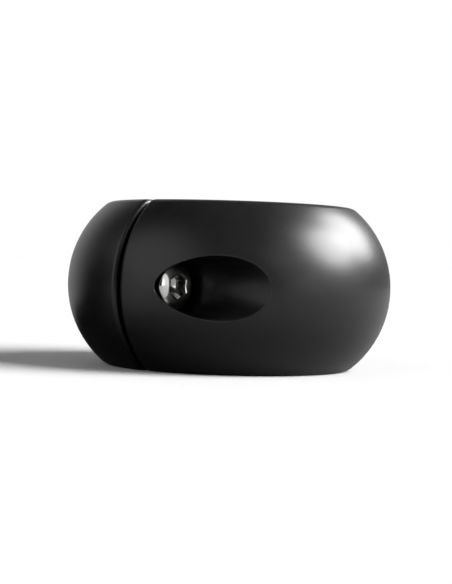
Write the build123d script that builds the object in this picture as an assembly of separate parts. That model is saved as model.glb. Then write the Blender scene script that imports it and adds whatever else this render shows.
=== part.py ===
from build123d import *
import os

# Cord lock: a barrel-shaped collar in two equal halves, drawn together on a round cord by two cap screws.
# Frame: origin at the centre of the flat base, +Z up along the cord, y = 0 is the split plane.
# The front half lies on the -Y side. The back half is the same half turned half a turn about Z,
# so each half seats one screw and carries the threaded insert for the other.
# All sizes are in millimetres.

# Body
body_diameter = 40.0  # at mid-height, where the side is widest
body_height = 20.0
face_diameter = 30.2  # of the flat ends, to the sharp corner under the rim rounding
rim_radius = 1.6  # rounding between a flat end and the side
split_gap = 0.6  # between the closed halves
split_edge_radius = 0.5  # rounding along the outline of each split face

# Pocket that each screw head sinks into
pocket_radius = 3.6
pocket_wall = 0.85  # thinnest wall between a pocket and the side, at mid-height
seat_wall = 1.7  # from a pocket's floor to the split face
pocket_lip = 0.1  # rounding of a pocket's mouth

# Cap screws
thread_diameter = 3.0
screw_length = 8.0  # under the head
head_diameter = 5.5
head_height = 3.0
head_rounding = 0.4  # at the rim of the head
crown_radius = 1.6  # of the small flat round the socket's mouth
crown_drop = 0.4  # how far the head's top slopes down from that flat to the rim
socket_across_flats = 2.5
socket_depth = 1.6
socket_mouth = 0.12  # bevel round the socket's mouth
tip_chamfer = 0.35

# Washers under the heads
washer_diameter = 6.0
washer_thickness = 0.5
washer_clearance = 0.1  # between a washer's hole and the thread

# Threaded inserts
insert_wall = 0.8  # from the thread to the insert's outside
insert_length = 5.0
insert_recess = 0.3  # below the split face
insert_lead = 0.25  # bevel at the thread's mouth

# Dowel pins that line the halves up
dowel_diameter = 2.0
dowel_length = 6.0
dowel_grip = 3.4  # how deep the pressed end sits below its split face
dowel_bevel = 0.2
dowel_wall = 0.9  # between a dowel and a pocket, and between a dowel and the grip's collar

# Grips: the soft half-sleeves that bear on the cord
cord_diameter = 6.5
grip_diameter = 14.0
grip_recess = 0.5  # below the flat ends
grip_gap = 0.1  # between the closed grips
collar_depth = 1.2  # how far the grip's collar stands into the body
collar_width = 7.0
land_count = 5  # rings that bear on the cord
groove_depth = 0.5  # between the lands
groove_share = 0.35  # of the land pitch
grip_flare = 0.9  # rounding where the cord enters
bore_bevel = 0.4  # at the body's bore

# Clearances
hole_clearance = 0.2  # round a screw where it passes through, on the radius
thread_clearance = 0.03  # between screw and insert, on the radius
dowel_clearance = 0.02  # on the radius, at the sliding end
head_clearance = 0.02  # between head and washer
end_clearance = 0.5  # past the end of a screw or dowel in its blind hole

# Places that follow from the sizes
body_radius = body_diameter / 2
middle = body_height / 2
screw_x = body_radius - pocket_wall - pocket_radius
split_y = split_gap / 2
seat_y = split_y + seat_wall
head_y = seat_y + washer_thickness + head_clearance
tip_y = screw_length - head_y
insert_radius = thread_diameter / 2 + insert_wall
insert_start = split_y + insert_recess
insert_end = insert_start + insert_length
hole_radius = thread_diameter / 2 + hole_clearance
hole_end = max(tip_y, insert_end) + end_clearance
grip_radius = grip_diameter / 2
collar_radius = grip_radius + collar_depth
dowel_radius = dowel_diameter / 2
dowel_x = collar_radius + dowel_wall + dowel_radius
dowel_z = middle + pocket_radius + dowel_wall + dowel_radius
dowel_reach = dowel_length - dowel_grip - split_gap

FRONT = Vector(0, -1, 0)
BACK = Vector(0, 1, 0)


def rod(x, z, start, direction, radius, length):
    """A cylinder from (x, start, z) along direction, which is FRONT or BACK."""
    base = Plane(origin=(x, start, z), z_dir=direction)
    return base * Cylinder(radius, length, align=(Align.CENTER, Align.CENTER, Align.MIN))


def turned(outline):
    """The solid of revolution about Z of an outline in the XZ plane."""
    return revolve(Plane.XZ * outline, axis=Axis.Z)


def front_of(solid, gap):
    """What lies more than half the gap in front of the split plane."""
    size = 2 * body_diameter
    keep = Pos(0, -gap / 2, middle) * Box(size, size, size, align=(Align.CENTER, Align.MAX, Align.CENTER))
    return solid & keep


def half_body():
    """The front half without its holes."""
    corner = face_diameter / 2
    outline = make_face(
        Line((0, 0), (corner, 0))
        + ThreePointArc((corner, 0), (body_radius, middle), (corner, body_height))
        + Line((corner, body_height), (0, body_height))
        + Line((0, body_height), (0, 0))
    )
    corners = outline.vertices().filter_by(lambda v: abs(v.X - corner) < 1e-6)
    half = front_of(turned(fillet(corners, rim_radius)), split_gap)
    split_face = half.faces().sort_by(Axis.Y)[-1]
    return fillet(split_face.edges(), split_edge_radius)


def pocketed(half):
    """The half with the pocket for its screw head, with a rounded mouth."""
    cut = half - rod(-screw_x, middle, -seat_y, FRONT, pocket_radius, body_radius)
    mouth = [
        edge
        for edge in new_edges(half, combined=cut)
        if edge.geom_type not in (GeomType.LINE, GeomType.CIRCLE)
    ]
    return fillet(mouth, pocket_lip)


def grip_seat():
    """The bore that the grips fill: a straight bore, a groove for their collar and a bevel at each end."""
    low, high = middle - collar_width / 2, middle + collar_width / 2
    points = [
        (0, 0),
        (grip_radius + bore_bevel, 0),
        (grip_radius, bore_bevel),
        (grip_radius, low),
        (collar_radius, low),
        (collar_radius, high),
        (grip_radius, high),
        (grip_radius, body_height - bore_bevel),
        (grip_radius + bore_bevel, body_height),
        (0, body_height),
    ]
    return turned(make_face(Polyline(points, close=True)))


def shell():
    """The front half of the metal body."""
    half = pocketed(half_body()) - grip_seat()
    screw_hole = rod(-screw_x, middle, 0, FRONT, hole_radius, seat_y + 1)
    insert_hole = rod(screw_x, middle, 0, FRONT, insert_radius, insert_end)
    tip_hole = rod(screw_x, middle, 0, FRONT, hole_radius, hole_end)
    pressed_hole = rod(dowel_x, dowel_z, 0, FRONT, dowel_radius, split_y + dowel_grip)
    sliding_hole = rod(
        -dowel_x,
        dowel_z,
        0,
        FRONT,
        dowel_radius + dowel_clearance,
        split_y + dowel_reach + end_clearance,
    )
    return half - screw_hole - insert_hole - tip_hole - pressed_hole - sliding_hole


def crowned_head():
    """A screw's head without its socket, on Z = 0 and centred on Z. Its top slopes down to a rounded rim."""
    rim = head_height - crown_drop
    radius = head_diameter / 2
    points = [(0, 0), (radius, 0), (radius, rim), (crown_radius, head_height), (0, head_height)]
    outline = make_face(Polyline(points, close=True))
    corner = outline.vertices().filter_by(lambda v: abs(v.X - radius) < 1e-6).sort_by(Axis.Y)[-1]
    return turned(fillet(corner, head_rounding))


def cap_screw():
    """The front screw: a crowned head with a hexagon socket, and its threaded shank as a plain cylinder."""
    seat = Plane(origin=(-screw_x, -head_y, middle), x_dir=(1, 0, 0), z_dir=FRONT)
    head = seat * crowned_head()
    shank = rod(-screw_x, middle, -head_y, BACK, thread_diameter / 2, screw_length)
    tip = shank.edges().filter_by(GeomType.CIRCLE).sort_by(Axis.Y)[-1]
    shank = chamfer(tip, tip_chamfer)
    top = Plane(origin=(-screw_x, -head_y - head_height, middle), x_dir=(0, 0, 1), z_dir=BACK)
    hexagon = RegularPolygon(socket_across_flats / 2, 6, major_radius=False)  # one corner up
    socket = extrude(top * hexagon, socket_depth)
    point = Plane(origin=(-screw_x, -head_y - head_height + socket_depth, middle), z_dir=BACK)
    drill_point = point * Cone(
        socket_across_flats / 2, 0, socket_across_flats / 4, align=(Align.CENTER, Align.CENTER, Align.MIN)
    )
    mouth_radius = socket_across_flats / 3**0.5 + socket_mouth
    mouth_bevel = top * Cone(
        mouth_radius,
        0,
        mouth_radius / 3**0.5,
        align=(Align.CENTER, Align.CENTER, Align.MIN),
    )
    return head + shank - socket - drill_point - mouth_bevel


def washer():
    """The front washer, on the floor of the front pocket."""
    disc = rod(-screw_x, middle, -seat_y, FRONT, washer_diameter / 2, washer_thickness)
    hole = rod(-screw_x, middle, -seat_y, FRONT, thread_diameter / 2 + washer_clearance, washer_thickness)
    return disc - hole


def insert():
    """The threaded insert in the front half, which takes the back screw."""
    bush = rod(screw_x, middle, -insert_start, FRONT, insert_radius, insert_length)
    thread = rod(screw_x, middle, -insert_start, FRONT, thread_diameter / 2 + thread_clearance, insert_length)
    bush -= thread
    mouths = [
        edge
        for edge in bush.edges().filter_by(GeomType.CIRCLE)
        if edge.radius < insert_radius - insert_wall / 2
    ]
    return chamfer(mouths, insert_lead)


def dowel():
    """The dowel pin pressed into the front half."""
    pin = rod(dowel_x, dowel_z, -split_y - dowel_grip, BACK, dowel_radius, dowel_length)
    return chamfer(pin.edges().filter_by(GeomType.CIRCLE), dowel_bevel)


def grip():
    """The front soft half-sleeve: a collar outside holds it in the body, and lands inside bear on the cord."""
    low, high = grip_recess, body_height - grip_recess
    cord_radius = cord_diameter / 2
    sleeve = turned(Pos(grip_radius / 2, middle) * Rectangle(grip_radius, high - low))
    collar = turned(Pos(collar_radius / 2, middle) * Rectangle(collar_radius, collar_width))
    sleeve += collar
    channel = Pos(0, 0, middle) * Cylinder(cord_radius, high - low)
    sleeve -= channel
    mouths = [
        edge
        for edge in sleeve.edges().filter_by(GeomType.CIRCLE)
        if edge.radius < cord_radius + groove_depth
    ]
    sleeve = fillet(mouths, grip_flare)
    pitch = (high - low - 2 * grip_flare) / (land_count - groove_share)
    for index in range(land_count - 1):
        groove_middle = low + grip_flare + pitch * (index + 1 - groove_share / 2)
        sleeve -= Pos(0, 0, groove_middle) * Cylinder(cord_radius + groove_depth, pitch * groove_share)
    return front_of(sleeve, grip_gap)


def main():
    front = {
        "shell": shell(),
        "cap_screw": cap_screw(),
        "washer": washer(),
        "threaded_insert": insert(),
        "dowel_pin": dowel(),
        "cord_grip": grip(),
    }
    os.makedirs("parts", exist_ok=True)
    half_turn = Rot(0, 0, 180)
    for name, piece in front.items():
        export_step(piece, f"parts/front_{name}.step")
        export_step(half_turn * piece, f"parts/back_{name}.step")


main()
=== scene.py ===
import math

import bpy
from mathutils import Matrix, Vector


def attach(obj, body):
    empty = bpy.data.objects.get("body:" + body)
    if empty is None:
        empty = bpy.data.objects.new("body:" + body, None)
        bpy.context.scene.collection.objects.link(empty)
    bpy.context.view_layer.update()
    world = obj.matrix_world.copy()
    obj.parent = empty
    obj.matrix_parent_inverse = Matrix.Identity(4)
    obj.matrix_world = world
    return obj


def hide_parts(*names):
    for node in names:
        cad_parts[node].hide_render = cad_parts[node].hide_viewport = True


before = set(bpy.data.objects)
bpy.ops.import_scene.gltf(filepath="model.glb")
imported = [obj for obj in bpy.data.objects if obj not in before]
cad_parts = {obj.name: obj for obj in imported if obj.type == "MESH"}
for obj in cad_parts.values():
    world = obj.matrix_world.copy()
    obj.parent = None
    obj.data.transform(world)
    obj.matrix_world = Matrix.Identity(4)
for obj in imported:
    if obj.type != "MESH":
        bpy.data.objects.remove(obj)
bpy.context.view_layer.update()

MM = 0.001
HALVES = ("front", "back")

# ---------------------------------------------------------------------------------------------
# Sizes of the pieces made here, in millimetres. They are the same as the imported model's sizes.
# ---------------------------------------------------------------------------------------------

SCREW_X = 15.55
MIDDLE = 10.0
HEAD_SEAT = 2.52  # from the split plane to the underside of a screw's head
PITCH = 0.5
THREAD_DEPTH = 0.29
SCREW_RADIUS = 1.5
SCREW_LENGTH = 8.0
TIP_CHAMFER = 0.35
HEAD_RADIUS = 2.75
HEAD_HEIGHT = 3.0
HEAD_ROUNDING = 0.4
CROWN_RADIUS = 1.6
CROWN_DROP = 0.4
SOCKET_ACROSS = 2.5
SOCKET_DEPTH = 1.6
SOCKET_MOUTH = 0.12
UNDER_HEAD = 0.08  # fillet between the head and the thread
HEAD_FOOT = 0.12  # bevel round the underside of the head
KNURLS = 36
KNURL_DEPTH = 0.07
INSERT_RADIUS = 2.3
INSERT_START = 0.6
INSERT_LENGTH = 5.0
INSERT_LEAD = 0.25
INSERT_BEVEL = 0.1  # outside, at both ends
INSERT_COLLAR = 0.6  # plain length at each end of the knurl
THREAD_CLEARANCE = 0.03
COLUMNS = 144  # round a turned piece: four for each knurl
RIM_STEPS = 7  # in the rounding at the rim of a head
SHARP_EDGE = math.radians(38)  # edges bent by more than this stay sharp


# ---------------------------------------------------------------------------------------------
# Small helpers for node trees
# ---------------------------------------------------------------------------------------------


def plug(tree, socket, value):
    """Links an output socket to an input, or sets a plain value on it."""
    if isinstance(value, bpy.types.NodeSocket):
        tree.links.new(value, socket)
    else:
        socket.default_value = value


def node(tree, kind, inputs=None, **settings):
    """Adds a node, sets its properties and plugs its inputs, which are named by index or by name."""
    made = tree.nodes.new(kind)
    for name, value in settings.items():
        setattr(made, name, value)
    for name, value in (inputs or {}).items():
        plug(tree, made.inputs[name], value)
    return made


def math_node(tree, operation, *values):
    """The result of a Math node."""
    made = node(tree, "ShaderNodeMath", operation=operation)
    for socket, value in zip(made.inputs, values):
        plug(tree, socket, value)
    return made.outputs[0]


def rise(tree, value, start, stop):
    """A mask that is 0 up to start, 1 from stop on, and climbs evenly between."""
    made = node(tree, "ShaderNodeMapRange", {"Value": value, "From Min": start, "From Max": stop})
    return made.outputs["Result"]


def compare(tree, operation, first, second):
    """The number that a Vector Math node makes of two vectors, such as DOT_PRODUCT or DISTANCE."""
    made = node(tree, "ShaderNodeVectorMath", {0: first, 1: second}, operation=operation)
    return made.outputs["Value"]


def new_group(name, kind, inputs, outputs):
    """An empty node group with named inputs and outputs, and its two end nodes."""
    tree = bpy.data.node_groups.new(name, kind)
    for label, socket_type, default in inputs:
        socket = tree.interface.new_socket(label, in_out="INPUT", socket_type=socket_type)
        if default is not None:
            socket.default_value = default
    for label, socket_type in outputs:
        tree.interface.new_socket(label, in_out="OUTPUT", socket_type=socket_type)
    return tree, tree.nodes.new("NodeGroupInput"), tree.nodes.new("NodeGroupOutput")


# ---------------------------------------------------------------------------------------------
# Effects that several finishes share
# ---------------------------------------------------------------------------------------------


def build_grain():
    """Fine speckle, as blasting or moulding leaves: a mask from 0 to 1."""
    tree, start, end = new_group(
        "surface grain",
        "ShaderNodeTree",
        [("Scale", "NodeSocketFloat", 5000.0), ("Roughness", "NodeSocketFloat", 0.6)],
        [("Mask", "NodeSocketFloat")],
    )
    place = node(tree, "ShaderNodeTexCoord")
    speckle = node(
        tree,
        "ShaderNodeTexNoise",
        {
            "Vector": place.outputs["Object"],
            "Scale": start.outputs["Scale"],
            "Detail": 3.0,
            "Roughness": start.outputs["Roughness"],
        },
    )
    plug(tree, end.inputs["Mask"], speckle.outputs["Fac"])
    return tree


def build_edge_wear():
    """A mask of the outside edges, broken up so that it doesn't run evenly."""
    tree, start, end = new_group(
        "edge wear",
        "ShaderNodeTree",
        [("Width", "NodeSocketFloat", 0.0004), ("Amount", "NodeSocketFloat", 1.0)],
        [("Mask", "NodeSocketFloat")],
    )
    flat = node(tree, "ShaderNodeNewGeometry")
    rounded = node(tree, "ShaderNodeBevel", {"Radius": start.outputs["Width"]}, samples=4)
    facing = compare(tree, "DOT_PRODUCT", flat.outputs["Normal"], rounded.outputs["Normal"])
    edge = math_node(tree, "SUBTRACT", 1.0, facing)
    edge = math_node(tree, "MULTIPLY", edge, 6.0)
    place = node(tree, "ShaderNodeTexCoord")
    patches = node(
        tree,
        "ShaderNodeTexNoise",
        {"Vector": place.outputs["Object"], "Scale": 420.0, "Detail": 4.0, "Roughness": 0.65},
    )
    broken = rise(tree, patches.outputs["Fac"], 0.42, 0.62)
    mask = math_node(tree, "MULTIPLY", edge, broken)
    mask = math_node(tree, "MULTIPLY", mask, start.outputs["Amount"])
    mask = math_node(tree, "MINIMUM", mask, 1.0)
    plug(tree, end.inputs["Mask"], mask)
    return tree


def build_lathe_lines():
    """Fine rings round the two screw axes, as turning leaves on the end of a small part."""
    tree, start, end = new_group(
        "lathe lines",
        "ShaderNodeTree",
        [
            ("Axis X", "NodeSocketFloat", 0.0),
            ("Axis Z", "NodeSocketFloat", 0.0),
            ("Lines", "NodeSocketFloat", 9000.0),
        ],
        [("Mask", "NodeSocketFloat")],
    )
    place = node(tree, "ShaderNodeTexCoord")
    parts = node(tree, "ShaderNodeSeparateXYZ", {0: place.outputs["Object"]})
    out_from_middle = math_node(tree, "ABSOLUTE", parts.outputs["X"])
    across = math_node(tree, "SUBTRACT", out_from_middle, start.outputs["Axis X"])
    up = math_node(tree, "SUBTRACT", parts.outputs["Z"], start.outputs["Axis Z"])
    square = math_node(
        tree, "ADD", math_node(tree, "MULTIPLY", across, across), math_node(tree, "MULTIPLY", up, up)
    )
    radius = math_node(tree, "SQRT", square)
    rings = node(
        tree,
        "ShaderNodeTexNoise",
        {"W": math_node(tree, "MULTIPLY", radius, start.outputs["Lines"]), "Scale": 1.0, "Detail": 2.0},
        noise_dimensions="1D",
    )
    plug(tree, end.inputs["Mask"], rings.outputs["Fac"])
    return tree


def build_dust():
    """A thin uneven film on surfaces that face up."""
    tree, start, end = new_group(
        "settled dust",
        "ShaderNodeTree",
        [("Amount", "NodeSocketFloat", 0.5)],
        [("Mask", "NodeSocketFloat")],
    )
    shape = node(tree, "ShaderNodeNewGeometry")
    parts = node(tree, "ShaderNodeSeparateXYZ", {0: shape.outputs["Normal"]})
    up = rise(tree, parts.outputs["Z"], 0.2, 1.0)
    place = node(tree, "ShaderNodeTexCoord")
    clouds = node(
        tree,
        "ShaderNodeTexNoise",
        {"Vector": place.outputs["Object"], "Scale": 190.0, "Detail": 5.0, "Roughness": 0.7},
    )
    uneven = rise(tree, clouds.outputs["Fac"], 0.35, 0.75)
    mask = math_node(tree, "MULTIPLY", up, uneven)
    mask = math_node(tree, "MULTIPLY", mask, start.outputs["Amount"])
    plug(tree, end.inputs["Mask"], mask)
    return tree


GRAIN = build_grain()
EDGE_WEAR = build_edge_wear()
LATHE_LINES = build_lathe_lines()
DUST = build_dust()


# ---------------------------------------------------------------------------------------------
# Finishes
# ---------------------------------------------------------------------------------------------


def shared(tree, group, **inputs):
    """Places a shared effect in a material and gives its mask."""
    made = tree.nodes.new("ShaderNodeGroup")
    made.node_tree = group
    for name, value in inputs.items():
        plug(tree, made.inputs[name.replace("_", " ")], value)
    return made.outputs["Mask"]


def blend_colour(tree, mask, low, high):
    """A colour between two, by a mask."""
    made = node(tree, "ShaderNodeMix", {"Factor": mask}, data_type="RGBA")
    plug(tree, made.inputs[6], low)
    plug(tree, made.inputs[7], high)
    return made.outputs[2]


def spread(tree, mask, low, high):
    """A mask stretched to run from low to high."""
    made = node(tree, "ShaderNodeMapRange", {"Value": mask, "To Min": low, "To Max": high})
    return made.outputs["Result"]


def new_material(name):
    """A material with its Principled shader, empty of everything else."""
    material = bpy.data.materials.new(name)
    material.use_nodes = True
    tree = material.node_tree
    return material, tree, tree.nodes["Principled BSDF"]


def bump(tree, height, strength, distance):
    """A normal that is roughened by a mask."""
    made = node(tree, "ShaderNodeBump", {"Height": height, "Strength": strength, "Distance": distance})
    return made.outputs["Normal"]


def black_satin():
    """Bead-blasted, black anodised aluminium."""
    material, tree, shader = new_material("black satin anodised aluminium")
    grain = shared(tree, GRAIN, Scale=5200.0, Roughness=0.55)
    broad = shared(tree, GRAIN, Scale=260.0, Roughness=0.5)
    worn = shared(tree, EDGE_WEAR, Width=0.0003, Amount=0.35)
    dust = shared(tree, DUST, Amount=0.04)
    colour = blend_colour(tree, broad, (0.0035, 0.0035, 0.0037, 1), (0.0065, 0.0065, 0.0068, 1))
    colour = blend_colour(tree, worn, colour, (0.09, 0.09, 0.092, 1))
    colour = blend_colour(tree, dust, colour, (0.25, 0.245, 0.235, 1))
    plug(tree, shader.inputs["Base Color"], colour)
    rough = math_node(tree, "ADD", spread(tree, grain, 0.27, 0.39), spread(tree, broad, -0.02, 0.02))
    plug(tree, shader.inputs["Roughness"], rough)
    plug(tree, shader.inputs["Normal"], bump(tree, grain, 0.35, 0.00002))
    shader.inputs["IOR"].default_value = 1.5
    return material


def polished_steel():
    """The screws' polished stainless steel."""
    material, tree, shader = new_material("polished stainless steel")
    rings = shared(tree, LATHE_LINES, Axis_X=SCREW_X * MM, Axis_Z=MIDDLE * MM, Lines=14000.0)
    smudges = shared(tree, GRAIN, Scale=700.0, Roughness=0.6)
    colour = blend_colour(tree, smudges, (0.60, 0.595, 0.58, 1), (0.72, 0.715, 0.70, 1))
    plug(tree, shader.inputs["Base Color"], colour)
    plug(tree, shader.inputs["Roughness"], spread(tree, smudges, 0.05, 0.12))
    plug(tree, shader.inputs["Normal"], bump(tree, rings, 0.12, 0.00001))
    shader.inputs["Metallic"].default_value = 1.0
    return material


def plain_steel(name, dark, light, rough, lines):
    """Turned steel with a duller face: washers, inserts and dowels."""
    material, tree, shader = new_material(name)
    rings = shared(tree, LATHE_LINES, Axis_X=SCREW_X * MM, Axis_Z=MIDDLE * MM, Lines=lines)
    smudges = shared(tree, GRAIN, Scale=900.0, Roughness=0.6)
    worn = shared(tree, EDGE_WEAR, Width=0.00015, Amount=0.5)
    colour = blend_colour(tree, smudges, dark, light)
    colour = blend_colour(tree, worn, colour, (0.75, 0.74, 0.73, 1))
    plug(tree, shader.inputs["Base Color"], colour)
    plug(tree, shader.inputs["Roughness"], spread(tree, smudges, rough - 0.06, rough + 0.08))
    plug(tree, shader.inputs["Normal"], bump(tree, rings, 0.3, 0.00001))
    shader.inputs["Metallic"].default_value = 1.0
    return material


def grip_rubber():
    """Moulded matt rubber."""
    material, tree, shader = new_material("matt black silicone rubber")
    grain = shared(tree, GRAIN, Scale=3500.0, Roughness=0.6)
    broad = shared(tree, GRAIN, Scale=300.0, Roughness=0.5)
    dust = shared(tree, DUST, Amount=0.12)
    colour = blend_colour(tree, broad, (0.028, 0.028, 0.030, 1), (0.040, 0.040, 0.042, 1))
    colour = blend_colour(tree, dust, colour, (0.22, 0.215, 0.205, 1))
    plug(tree, shader.inputs["Base Color"], colour)
    plug(tree, shader.inputs["Roughness"], spread(tree, grain, 0.62, 0.8))
    plug(tree, shader.inputs["Normal"], bump(tree, grain, 0.4, 0.00003))
    return material


BLACK_SATIN = black_satin()
POLISHED_STEEL = polished_steel()
WASHER_STEEL = plain_steel("washer steel", (0.42, 0.415, 0.41, 1), (0.52, 0.515, 0.50, 1), 0.32, 9000.0)
INSERT_STEEL = plain_steel("insert steel", (0.38, 0.375, 0.37, 1), (0.48, 0.475, 0.465, 1), 0.36, 11000.0)
DOWEL_STEEL = plain_steel("ground dowel steel", (0.48, 0.48, 0.48, 1), (0.58, 0.58, 0.57, 1), 0.2, 16000.0)
GRIP_RUBBER = grip_rubber()


# ---------------------------------------------------------------------------------------------
# Turned pieces: a blank is laid out row by row, then threads and knurls are cut by rule
# ---------------------------------------------------------------------------------------------


CUT_FEATURES = ("threaded", "knurled", "socketed")


def build_cutting():
    """Cuts a thread, a straight knurl and a hexagon socket into a turned blank whose axis is local Z."""
    tree, start, end = new_group(
        "cut thread, knurl and socket",
        "GeometryNodeTree",
        [
            ("Blank", "NodeSocketGeometry", None),
            ("Pitch", "NodeSocketFloat", PITCH * MM),
            ("Thread Depth", "NodeSocketFloat", THREAD_DEPTH * MM),
            ("Thread Top", "NodeSocketFloat", 0.0),
            ("Thread Bottom", "NodeSocketFloat", -SCREW_LENGTH * MM),
            ("Run Out", "NodeSocketFloat", 0.3 * MM),
            ("Tip Radius", "NodeSocketFloat", 1.0),
            ("Knurls", "NodeSocketFloat", float(KNURLS)),
            ("Knurl Depth", "NodeSocketFloat", KNURL_DEPTH * MM),
            ("Across Flats", "NodeSocketFloat", SOCKET_ACROSS * MM),
            ("Finish", "NodeSocketMaterial", None),
        ],
        [("Piece", "NodeSocketGeometry")],
    )

    def number(name):
        return node(tree, "GeometryNodeInputNamedAttribute", {"Name": name}, data_type="FLOAT").outputs[0]

    turn, threaded, knurled, socketed = map(number, ("turn", *CUT_FEATURES))
    place = node(tree, "ShaderNodeSeparateXYZ", {0: node(tree, "GeometryNodeInputPosition").outputs[0]})
    radius = math_node(
        tree,
        "SQRT",
        math_node(
            tree,
            "ADD",
            math_node(tree, "MULTIPLY", place.outputs["X"], place.outputs["X"]),
            math_node(tree, "MULTIPLY", place.outputs["Y"], place.outputs["Y"]),
        ),
    )
    pitch = start.outputs["Pitch"]

    # the threaded rows climb one pitch in a turn, and are trimmed at the thread's two ends
    climb = math_node(tree, "MULTIPLY", math_node(tree, "MULTIPLY", turn, pitch), threaded)
    height = math_node(tree, "ADD", place.outputs["Z"], climb)
    trimmed = math_node(
        tree,
        "MINIMUM",
        math_node(tree, "MAXIMUM", height, start.outputs["Thread Bottom"]),
        start.outputs["Thread Top"],
    )
    gain = math_node(tree, "SUBTRACT", trimmed, height)
    height = math_node(tree, "ADD", height, math_node(tree, "MULTIPLY", gain, threaded))

    # one turn of the thread: a crest an eighth of the pitch wide, flanks, and a root a quarter wide
    phase = math_node(
        tree, "FRACT", math_node(tree, "SUBTRACT", math_node(tree, "DIVIDE", height, pitch), turn)
    )
    from_crest = math_node(
        tree, "ABSOLUTE", math_node(tree, "WRAP", math_node(tree, "SUBTRACT", phase, 0.0625), 0.5, -0.5)
    )
    groove = rise(tree, from_crest, 0.0625, 0.375)
    below_top = math_node(tree, "SUBTRACT", start.outputs["Thread Top"], height)
    run_out = rise(tree, below_top, 0.0, start.outputs["Run Out"])
    depth = math_node(tree, "MULTIPLY", math_node(tree, "MULTIPLY", groove, run_out), threaded)
    depth = math_node(tree, "MULTIPLY", depth, start.outputs["Thread Depth"])

    # the knurl: V grooves along the axis
    tooth = math_node(tree, "FRACT", math_node(tree, "MULTIPLY", turn, start.outputs["Knurls"]))
    from_valley = math_node(tree, "SUBTRACT", math_node(tree, "MULTIPLY", tooth, 2.0), 1.0)
    valley = math_node(tree, "SUBTRACT", 1.0, math_node(tree, "ABSOLUTE", from_valley))
    valley = math_node(tree, "MULTIPLY", valley, knurled)
    depth = math_node(tree, "ADD", depth, math_node(tree, "MULTIPLY", valley, start.outputs["Knurl Depth"]))

    # the socket: its rows move out to the hexagon
    sixth = math_node(tree, "FRACT", math_node(tree, "MULTIPLY_ADD", turn, 6.0, 0.5))
    swing = math_node(tree, "MULTIPLY", math_node(tree, "SUBTRACT", sixth, 0.5), math.pi / 3)
    flat = math_node(
        tree,
        "DIVIDE",
        math_node(tree, "MULTIPLY", start.outputs["Across Flats"], 0.5),
        math_node(tree, "COSINE", swing),
    )
    shaped = math_node(tree, "SUBTRACT", radius, depth)
    near_tip = math_node(tree, "SUBTRACT", height, start.outputs["Thread Bottom"])
    tip_limit = math_node(tree, "ADD", start.outputs["Tip Radius"], near_tip)
    limited = math_node(tree, "MINIMUM", shaped, tip_limit)
    shaped = math_node(
        tree,
        "ADD",
        shaped,
        math_node(tree, "MULTIPLY", math_node(tree, "SUBTRACT", limited, shaped), threaded),
    )
    to_flat = math_node(tree, "MULTIPLY", math_node(tree, "SUBTRACT", flat, shaped), socketed)
    shaped = math_node(tree, "ADD", shaped, to_flat)
    angle = math_node(tree, "MULTIPLY", turn, math.tau)
    moved = node(
        tree,
        "ShaderNodeCombineXYZ",
        {
            0: math_node(tree, "MULTIPLY", shaped, math_node(tree, "COSINE", angle)),
            1: math_node(tree, "MULTIPLY", shaped, math_node(tree, "SINE", angle)),
            2: height,
        },
    )
    cut_piece = node(
        tree, "GeometryNodeSetPosition", {"Geometry": start.outputs["Blank"], "Position": moved.outputs[0]}
    )
    closed = node(
        tree, "GeometryNodeMergeByDistance", {"Geometry": cut_piece.outputs[0], "Distance": 0.0005 * MM}
    )
    real = node(tree, "GeometryNodeRealizeInstances", {"Geometry": closed.outputs[0]})
    finished = node(
        tree, "GeometryNodeSetMaterial", {"Geometry": real.outputs[0], "Material": start.outputs["Finish"]}
    )
    plug(tree, end.inputs["Piece"], finished.outputs[0])
    return tree


CUTTING = build_cutting()


def thread_rows(radius, top, bottom):
    """Rows for a thread, from top to bottom: the four corners of its profile in each pitch."""
    rows = []
    turns = math.ceil(top / PITCH) + 1
    while turns * PITCH > bottom - 2 * PITCH:
        rows += [(radius, (turns + part) * PITCH, "threaded") for part in (0.6875, 0.4375, 0.125, 0.0)]
        turns -= 1
    return rows


def blank(name, rows):
    """A turned blank as an open sheet of rows by columns. A row is (radius, height, what is cut there)."""
    points, turns = [], []
    marks = {feature: [] for feature in CUT_FEATURES}
    for radius, height, kind in rows:
        for column in range(COLUMNS + 1):
            turn = column / COLUMNS
            angle = turn * math.tau
            points.append((radius * math.cos(angle) * MM, radius * math.sin(angle) * MM, height * MM))
            turns.append(turn)
            for feature in CUT_FEATURES:
                marks[feature].append(1.0 if kind == feature else 0.0)
    faces = []
    for row in range(len(rows) - 1):
        for column in range(COLUMNS):
            here = row * (COLUMNS + 1) + column
            below = here + COLUMNS + 1
            faces.append((here, below, below + 1, here + 1))
    mesh = bpy.data.meshes.new(name)
    mesh.from_pydata(points, [], faces)
    for label, values in {"turn": turns, **marks}.items():
        mesh.attributes.new(label, "FLOAT", "POINT").data.foreach_set("value", values)
    return mesh


def cut(name, rows, finish, place, **sizes):
    """Runs the cutting tree on a blank and gives the finished piece, put in place."""
    source = bpy.data.objects.new(name + "_blank", blank(name + "_blank", rows))
    bpy.context.scene.collection.objects.link(source)
    modifier = source.modifiers.new("cutting", "NODES")
    modifier.node_group = CUTTING
    sockets = {
        item.name: item.identifier
        for item in CUTTING.interface.items_tree
        if item.item_type == "SOCKET" and item.in_out == "INPUT"
    }
    modifier[sockets["Finish"]] = finish
    for label, value in sizes.items():
        modifier[sockets[label.replace("_", " ")]] = value
    source.update_tag()
    shown = source.evaluated_get(bpy.context.evaluated_depsgraph_get())
    mesh = bpy.data.meshes.new_from_object(shown)
    mesh.name = name
    bpy.data.objects.remove(source)
    for label in ("turn", *CUT_FEATURES):
        if label in mesh.attributes:
            mesh.attributes.remove(mesh.attributes[label])
    mesh.transform(place)
    mesh.shade_smooth()
    mesh.set_sharp_from_angle(angle=SHARP_EDGE)
    piece = bpy.data.objects.new(name, mesh)
    bpy.context.scene.collection.objects.link(piece)
    return piece


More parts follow.
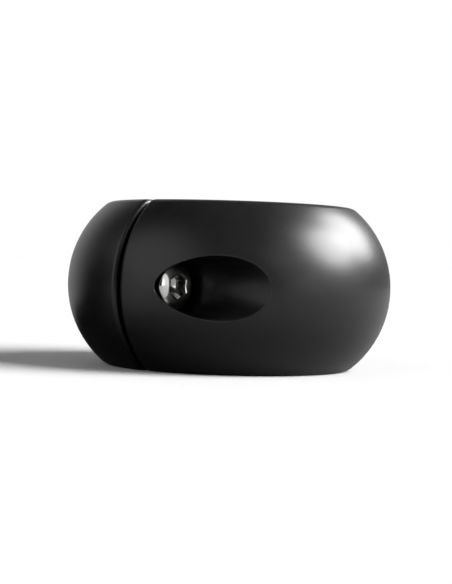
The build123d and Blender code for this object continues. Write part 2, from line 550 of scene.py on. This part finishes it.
def screw_rows():
    """The cap screw from its socket's bottom, over the head and down to the tip. Height 0 is the seat."""
    top = HEAD_HEIGHT
    socket_floor = top - SOCKET_DEPTH
    half = SOCKET_ACROSS / 2
    rows = [
        (0.0, socket_floor - half / 2, ""),
        (half * 0.96, socket_floor, ""),
        (half, socket_floor + 0.02, "socketed"),
        (half, top - SOCKET_MOUTH, "socketed"),
        (half / math.cos(math.pi / 6) + SOCKET_MOUTH, top, ""),
        (CROWN_RADIUS, top, ""),
    ]
    slope = math.atan2(CROWN_DROP, HEAD_RADIUS - CROWN_RADIUS)
    rim = HEAD_RADIUS - HEAD_ROUNDING
    rim_height = top - (HEAD_ROUNDING + (rim - CROWN_RADIUS) * math.sin(slope)) / math.cos(slope)
    for step in range(RIM_STEPS + 1):
        angle = slope + (math.pi / 2 - slope) * step / RIM_STEPS
        out, up = HEAD_ROUNDING * math.sin(angle), HEAD_ROUNDING * math.cos(angle)
        rows.append((rim + out, rim_height + up, ""))
    rows += [
        (HEAD_RADIUS, rim_height - 0.05, ""),
        (HEAD_RADIUS, rim_height - 0.15, "knurled"),
        (HEAD_RADIUS, HEAD_FOOT + 0.2, "knurled"),
        (HEAD_RADIUS, HEAD_FOOT + 0.1, ""),
        (HEAD_RADIUS, HEAD_FOOT, ""),
        (HEAD_RADIUS - HEAD_FOOT, 0.0, ""),
        (SCREW_RADIUS + UNDER_HEAD, 0.0, ""),
        (SCREW_RADIUS, -UNDER_HEAD, ""),
    ]
    rows += thread_rows(SCREW_RADIUS, -UNDER_HEAD, -SCREW_LENGTH)
    rows.append((0.0, -SCREW_LENGTH, ""))
    return rows


def insert_rows():
    """A threaded insert in the frame of the screw that it takes: its outside, then its threaded inside."""
    high = -(INSERT_START + HEAD_SEAT)
    low = high - INSERT_LENGTH
    inner = SCREW_RADIUS + THREAD_CLEARANCE
    rows = [
        (inner + INSERT_LEAD, high, ""),
        (INSERT_RADIUS - INSERT_BEVEL, high, ""),
        (INSERT_RADIUS, high - INSERT_BEVEL, ""),
        (INSERT_RADIUS, high - INSERT_COLLAR, ""),
        (INSERT_RADIUS, high - INSERT_COLLAR - 0.1, "knurled"),
        (INSERT_RADIUS, low + INSERT_COLLAR + 0.1, "knurled"),
        (INSERT_RADIUS, low + INSERT_COLLAR, ""),
        (INSERT_RADIUS, low + INSERT_BEVEL, ""),
        (INSERT_RADIUS - INSERT_BEVEL, low, ""),
        (inner + INSERT_LEAD, low, ""),
        (inner, low + INSERT_LEAD, ""),
    ]
    inside = thread_rows(inner, high - INSERT_LEAD, low + INSERT_LEAD)
    rows += reversed(inside)
    rows += [(inner, high - INSERT_LEAD, ""), (inner + INSERT_LEAD, high, "")]
    return rows


def facing_out(half):
    """Puts a turned piece on the half's screw axis, with local Z pointing out of its head."""
    upright = Matrix.Rotation(math.pi / 2, 4, "X")
    placed = Matrix.Translation(Vector((-SCREW_X, -HEAD_SEAT, MIDDLE)) * MM) @ upright
    if half == "back":
        placed = Matrix.Rotation(math.pi, 4, "Z") @ placed
    return placed


for half, other in zip(HALVES, reversed(HALVES)):
    screw = cut(
        half + "_cap_screw_cut",
        screw_rows(),
        POLISHED_STEEL,
        facing_out(half),
        Thread_Top=-UNDER_HEAD * MM,
        Tip_Radius=(SCREW_RADIUS - TIP_CHAMFER) * MM,
    )
    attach(screw, half + "_screw")
    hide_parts(half + "_cap_screw")
    insert = cut(
        other + "_threaded_insert_cut",
        insert_rows(),
        INSERT_STEEL,
        facing_out(half),
        Thread_Top=-(INSERT_START + HEAD_SEAT + INSERT_LEAD) * MM,
        Thread_Bottom=-(INSERT_START + HEAD_SEAT + INSERT_LENGTH - INSERT_LEAD) * MM,
        Run_Out=0.02 * MM,
    )
    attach(insert, other + "_half")
    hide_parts(other + "_threaded_insert")


# ---------------------------------------------------------------------------------------------
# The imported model's own pieces get their finishes
# ---------------------------------------------------------------------------------------------

FINISHES = {
    "shell": BLACK_SATIN,
    "washer": WASHER_STEEL,
    "dowel_pin": DOWEL_STEEL,
    "cord_grip": GRIP_RUBBER,
}
for half in HALVES:
    for part, finish in FINISHES.items():
        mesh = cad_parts[f"{half}_{part}"].data
        mesh.materials.clear()
        mesh.materials.append(finish)


# ---------------------------------------------------------------------------------------------
# Floor, light and camera
# ---------------------------------------------------------------------------------------------

CENTRE = Vector((0.0, 0.0, MIDDLE * MM))
VIEW_ANGLE = math.radians(-50.25)
VIEW_RISE = math.radians(0.92)
VIEW_ROLL = math.radians(1.77)
VIEW_DISTANCE = 0.170
AIM_RIGHT = -0.37 * MM
AIM_UP = -0.78 * MM
SENSOR_WIDTH = 36.0
LENS = 83.95

RIGHT = Vector((math.cos(VIEW_ANGLE), math.sin(VIEW_ANGLE), 0.0))
AWAY = Vector((-math.sin(VIEW_ANGLE), math.cos(VIEW_ANGLE), 0.0))
UP = Vector((0.0, 0.0, 1.0))


def seen(right, away, up):
    """A direction given as the main view sees it."""
    return RIGHT * right + AWAY * away + UP * up


# two soft boxes side by side, which show in the satin body: towards, strength
SOFT_BOXES = ((seen(0.829, 0.0, 0.559), 4.2), (seen(0.711, 0.444, 0.545), 2.9))
BOX_WIDTH = 32.0  # in degrees
# the key light whitens the floor and casts the shadow
KEY_DIRECTION = seen(0.89, -0.2, 0.58).normalized()
KEY_STRENGTH = 5.4
KEY_WIDTH = 44.0  # in degrees

FLAG_TOWARDS = seen(-0.996, 0.087, 0.0).normalized()
FLAG_REACH = (0.026, 0.09, 0.0004, 0.022)  # near, far, low and high edge
FLAG_HALF_WIDTH = 0.027  # at the far edge
FLAG_STEPS = 8

TENT_BASE = 0.22
TENT_LEAST = 0.02
TENT_WALLS = (  # towards, outer and inner angle from there in degrees, added brightness
    (seen(0.966, -0.2, 0.1), 34.0, 18.0, 0.75),
    (seen(0.786, -0.614, 0.07), 14.0, 6.0, 0.8),
    (seen(0.591, -0.656, 0.47), 16.0, 4.0, 0.8),
    (seen(-0.8, -0.45, 0.3), 46.0, 12.0, 0.75),
    (seen(-0.342, 0.94, 0.05), 42.0, 14.0, 0.45),
    (seen(-0.34, -0.94, 0.05), 26.0, 12.0, -0.2),
    (seen(0.3, -0.95, 0.05), 26.0, 12.0, -0.2),
    (seen(-0.673, 0.314, 0.669), 30.0, 10.0, -0.12),
    (seen(0.0, 0.0, 1.0), 60.0, 10.0, -0.15),
    (FLAG_TOWARDS, 26.0, 10.0, -0.6),
)

FLOOR_RINGS = (0.03, 0.1, 0.3, 1.0, 4.0, 15.0)
FLOOR_COLUMNS = 96
PAINTED_SHADE_REACH = (0.022, 0.045)  # how far from the middle the painted shade round the base reaches, in the floor's colour for reflections
PAINTED_SHADE_SIDES = (-0.02, 0.03)  # from left to right, how the painted shade near the base lightens: painted shadow on the left
# a spot of painted shade in the floor's colour for reflections, to the left of the object
PAINTED_DARK_SPOT = seen(-0.046, 0.008, 0.0)
PAINTED_DARK_SPOT_EDGE = (0.02, 0.036)  # where the painted dark spot starts to fade, and where it ends


def grey(level):
    """An opaque grey."""
    return (level, level, level, 1.0)


def add_camera():
    """The main view: nearly level, from the front and left."""
    back = -AWAY * math.cos(VIEW_RISE) + UP * math.sin(VIEW_RISE)
    camera = bpy.data.objects.new("camera", bpy.data.cameras.new("camera"))
    camera.data.sensor_width = SENSOR_WIDTH
    camera.data.lens = LENS
    camera.data.clip_start = 0.01
    camera.data.clip_end = 20.0
    straight = (-back).to_track_quat("-Z", "Y")
    lift = straight @ Vector((0.0, 1.0, 0.0))
    target = CENTRE + RIGHT * AIM_RIGHT + lift * AIM_UP
    camera.location = CENTRE + back * VIEW_DISTANCE
    aim = (target - camera.location).to_track_quat("-Z", "Y")
    camera.rotation_mode = "QUATERNION"
    camera.rotation_quaternion = aim @ Matrix.Rotation(VIEW_ROLL, 3, "Z").to_quaternion()
    bpy.context.scene.collection.objects.link(camera)
    bpy.context.scene.camera = camera


def floor_with_painted_shade(tree):
    """The floor's colour for light and reflections, with painted shade: dark close to the base, on its left
    most of all, and a near-black painted spot further left.
    """
    place = tree.nodes.new("ShaderNodeTexCoord").outputs["Object"]
    length = node(tree, "ShaderNodeVectorMath", {0: place}, operation="LENGTH")
    # painted shade: the floor's reflected colour is dark near the base, and darker on the left, where the
    # shadow falls
    beyond_painted_shade = rise(tree, length.outputs["Value"], *PAINTED_SHADE_REACH)
    side = rise(tree, compare(tree, "DOT_PRODUCT", place, RIGHT), *PAINTED_SHADE_SIDES)
    near = blend_colour(tree, side, grey(0.05), grey(0.45))
    painted_shade_near_base = blend_colour(tree, beyond_painted_shade, near, grey(0.5))
    # painted shade: a near-black spot in the floor's reflected colour, left of the object
    outside_painted_dark_spot = rise(tree, compare(tree, "DISTANCE", place, PAINTED_DARK_SPOT), *PAINTED_DARK_SPOT_EDGE)
    return blend_colour(tree, outside_painted_dark_spot, grey(0.02), painted_shade_near_base)


def floor_finish():
    """A pale matt floor. What reflects in the object is darker than what is seen straight, because the
    reflected colour holds painted shade.
    """
    material, tree, shader = new_material("pale floor")
    flecks = shared(tree, GRAIN, Scale=900.0, Roughness=0.6)
    pale = blend_colour(tree, flecks, grey(0.86), grey(0.9))
    seen_straight = tree.nodes.new("ShaderNodeLightPath").outputs["Is Camera Ray"]
    # seen straight the floor is evenly pale; for light and reflections it takes the painted shade
    colour = blend_colour(tree, seen_straight, floor_with_painted_shade(tree), pale)
    plug(tree, shader.inputs["Base Color"], colour)
    shader.inputs["Roughness"].default_value = 0.8
    shader.inputs["Specular IOR Level"].default_value = 0.2
    return material


def add_floor():
    """A plain round floor, wide enough to reach the horizon."""
    points = []
    for radius in FLOOR_RINGS:
        for column in range(FLOOR_COLUMNS):
            angle = math.tau * column / FLOOR_COLUMNS
            points.append((radius * math.cos(angle), radius * math.sin(angle), 0.0))
    faces = [tuple(range(FLOOR_COLUMNS))]
    for ring in range(len(FLOOR_RINGS) - 1):
        inner, outer = ring * FLOOR_COLUMNS, (ring + 1) * FLOOR_COLUMNS
        for column in range(FLOOR_COLUMNS):
            following = (column + 1) % FLOOR_COLUMNS
            faces.append((inner + column, outer + column, outer + following, inner + following))
    mesh = bpy.data.meshes.new("floor")
    mesh.from_pydata(points, [], faces)
    mesh.materials.append(floor_finish())
    floor = bpy.data.objects.new("floor", mesh)
    bpy.context.scene.collection.objects.link(floor)


def card_finish():
    """Black cloth that reflects next to nothing."""
    material, tree, shader = new_material("black card")
    cloth = shared(tree, GRAIN, Scale=900.0, Roughness=0.6)
    plug(tree, shader.inputs["Base Color"], blend_colour(tree, cloth, grey(0.002), grey(0.004)))
    shader.inputs["Roughness"].default_value = 1.0
    shader.inputs["Specular IOR Level"].default_value = 0.0
    return material


def add_flag():
    """A black card beside the object. It shows only as the dark patch that it leaves in glossy surfaces."""
    near, far, low, high = FLAG_REACH
    across = FLAG_TOWARDS.cross(UP).normalized()
    points = []
    for step in range(FLAG_STEPS + 1):
        angle = step / FLAG_STEPS * math.pi / 2
        out = near + (far - near) * math.sin(angle)
        height = low + (high - low) * (1 - math.cos(angle))
        half_width = FLAG_HALF_WIDTH * out / far
        for side in (-half_width, half_width):
            points.append(FLAG_TOWARDS * out + across * side + UP * height)
    faces = [(2 * k, 2 * k + 1, 2 * k + 3, 2 * k + 2) for k in range(FLAG_STEPS)]
    mesh = bpy.data.meshes.new("black card")
    mesh.from_pydata(points, [], faces)
    mesh.materials.append(card_finish())
    card = bpy.data.objects.new("black_card", mesh)
    card.visible_camera = False
    card.visible_shadow = False
    card.visible_diffuse = False
    bpy.context.scene.collection.objects.link(card)


def add_light(name, direction, strength, width):
    """A large soft light, far away in the given direction."""
    light = bpy.data.lights.new(name, "SUN")
    light.energy = strength
    light.angle = math.radians(width)
    lamp = bpy.data.objects.new(name, light)
    lamp.rotation_mode = "QUATERNION"
    lamp.rotation_quaternion = direction.to_track_quat("Z", "Y")
    lamp.location = CENTRE + direction * 0.5
    bpy.context.scene.collection.objects.link(lamp)
    return lamp


def tent_brightness(tree, direction):
    """The tent's brightness in a direction: its base, with each wall's patch added."""
    level = TENT_BASE
    for towards, outer, inner, gain in TENT_WALLS:
        patch = node(
            tree,
            "ShaderNodeMapRange",
            {
                "Value": compare(tree, "DOT_PRODUCT", direction, towards.normalized()),
                "From Min": math.cos(math.radians(outer)),
                "From Max": math.cos(math.radians(inner)),
                "To Max": gain,
            },
            interpolation_type="SMOOTHSTEP",
        )
        level = math_node(tree, "ADD", level, patch.outputs["Result"])
    return math_node(tree, "MAXIMUM", level, TENT_LEAST)


def add_world():
    """White in the picture. For light and reflections, a tent whose walls differ in brightness."""
    world = bpy.data.worlds.new("studio")
    world.use_nodes = True
    tree = world.node_tree
    tree.nodes.clear()
    direction = tree.nodes.new("ShaderNodeTexCoord").outputs["Generated"]
    brightness = tent_brightness(tree, direction)
    seen_straight = tree.nodes.new("ShaderNodeLightPath").outputs["Is Camera Ray"]
    tent = node(tree, "ShaderNodeBackground", {"Color": grey(1.0), "Strength": brightness})
    white = node(tree, "ShaderNodeBackground", {"Color": grey(1.0), "Strength": 1.0})
    both = node(tree, "ShaderNodeMixShader", {0: seen_straight, 1: tent.outputs[0], 2: white.outputs[0]})
    end = tree.nodes.new("ShaderNodeOutputWorld")
    plug(tree, end.inputs["Surface"], both.outputs[0])
    bpy.context.scene.world = world


add_camera()
add_floor()
add_flag()
add_world()
for number, (towards, strength) in enumerate(SOFT_BOXES, 1):
    box = add_light(f"soft_box_{number}", towards.normalized(), strength, BOX_WIDTH)
    box.visible_diffuse = False
key = add_light("key", KEY_DIRECTION, KEY_STRENGTH, KEY_WIDTH)
key.visible_glossy = False
bpy.context.scene.view_settings.view_transform = "Standard"
